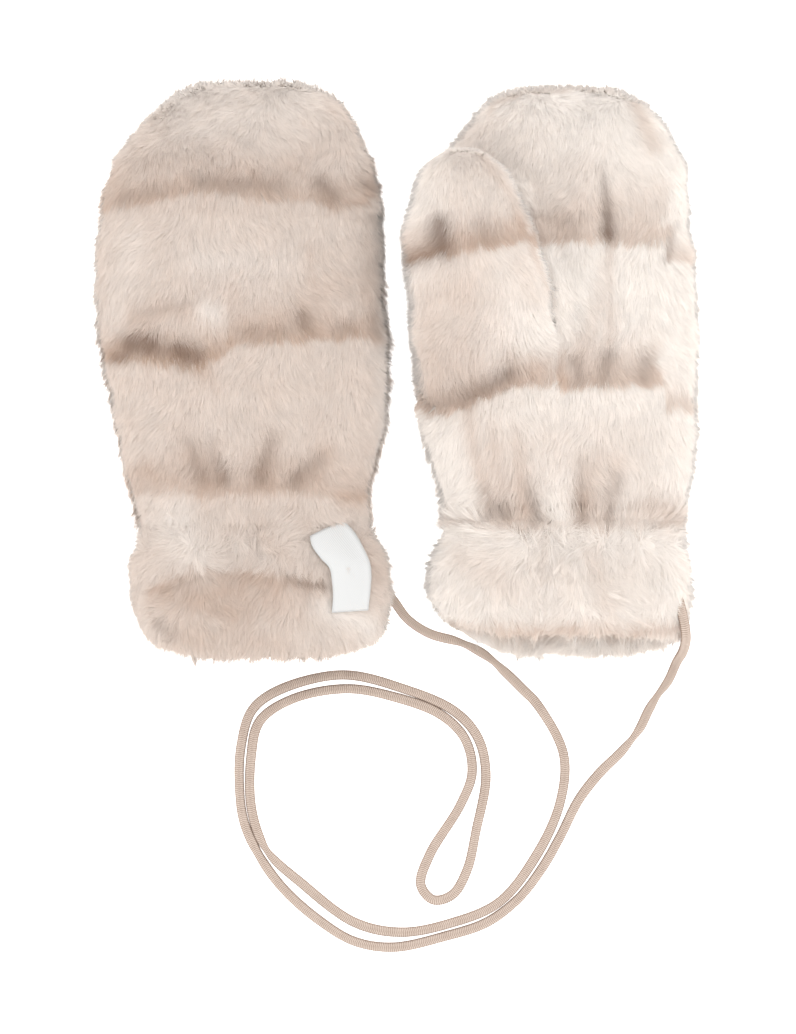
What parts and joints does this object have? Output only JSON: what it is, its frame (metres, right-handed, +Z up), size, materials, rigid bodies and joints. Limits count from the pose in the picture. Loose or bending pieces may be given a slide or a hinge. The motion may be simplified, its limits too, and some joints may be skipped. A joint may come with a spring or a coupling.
{
  "type": "pair of fur mittens joined by a cord",
  "caption": "Pair of cream and taupe striped plush fur mittens with gathered wrists and open cuffs, joined by a long knitted cord and laid flat.",
  "frame": {"origin": "on the surface the mittens lie on, under the middle of the pair", "axes": "+X across the pair from the right hand's mitten to the left hand's, +Y towards the fingertips, +Z up"},
  "size_m": [0.3, 0.4401, 0.0694],
  "materials": {
    "fur": "plush fur, cream with taupe stripes",
    "ribbon": "white woven satin ribbon",
    "cord": "beige tubular knit"
  },
  "bodies": {
    "root": {"right_back": "fur", "right_palm": "fur", "right_thumb": "fur", "right_cuff": "fur", "left_back": "fur", "left_palm": "fur", "left_thumb": "fur", "left_cuff": "fur", "cuff_label": "ribbon", "cord": "cord"}
  },
  "joints": []
}
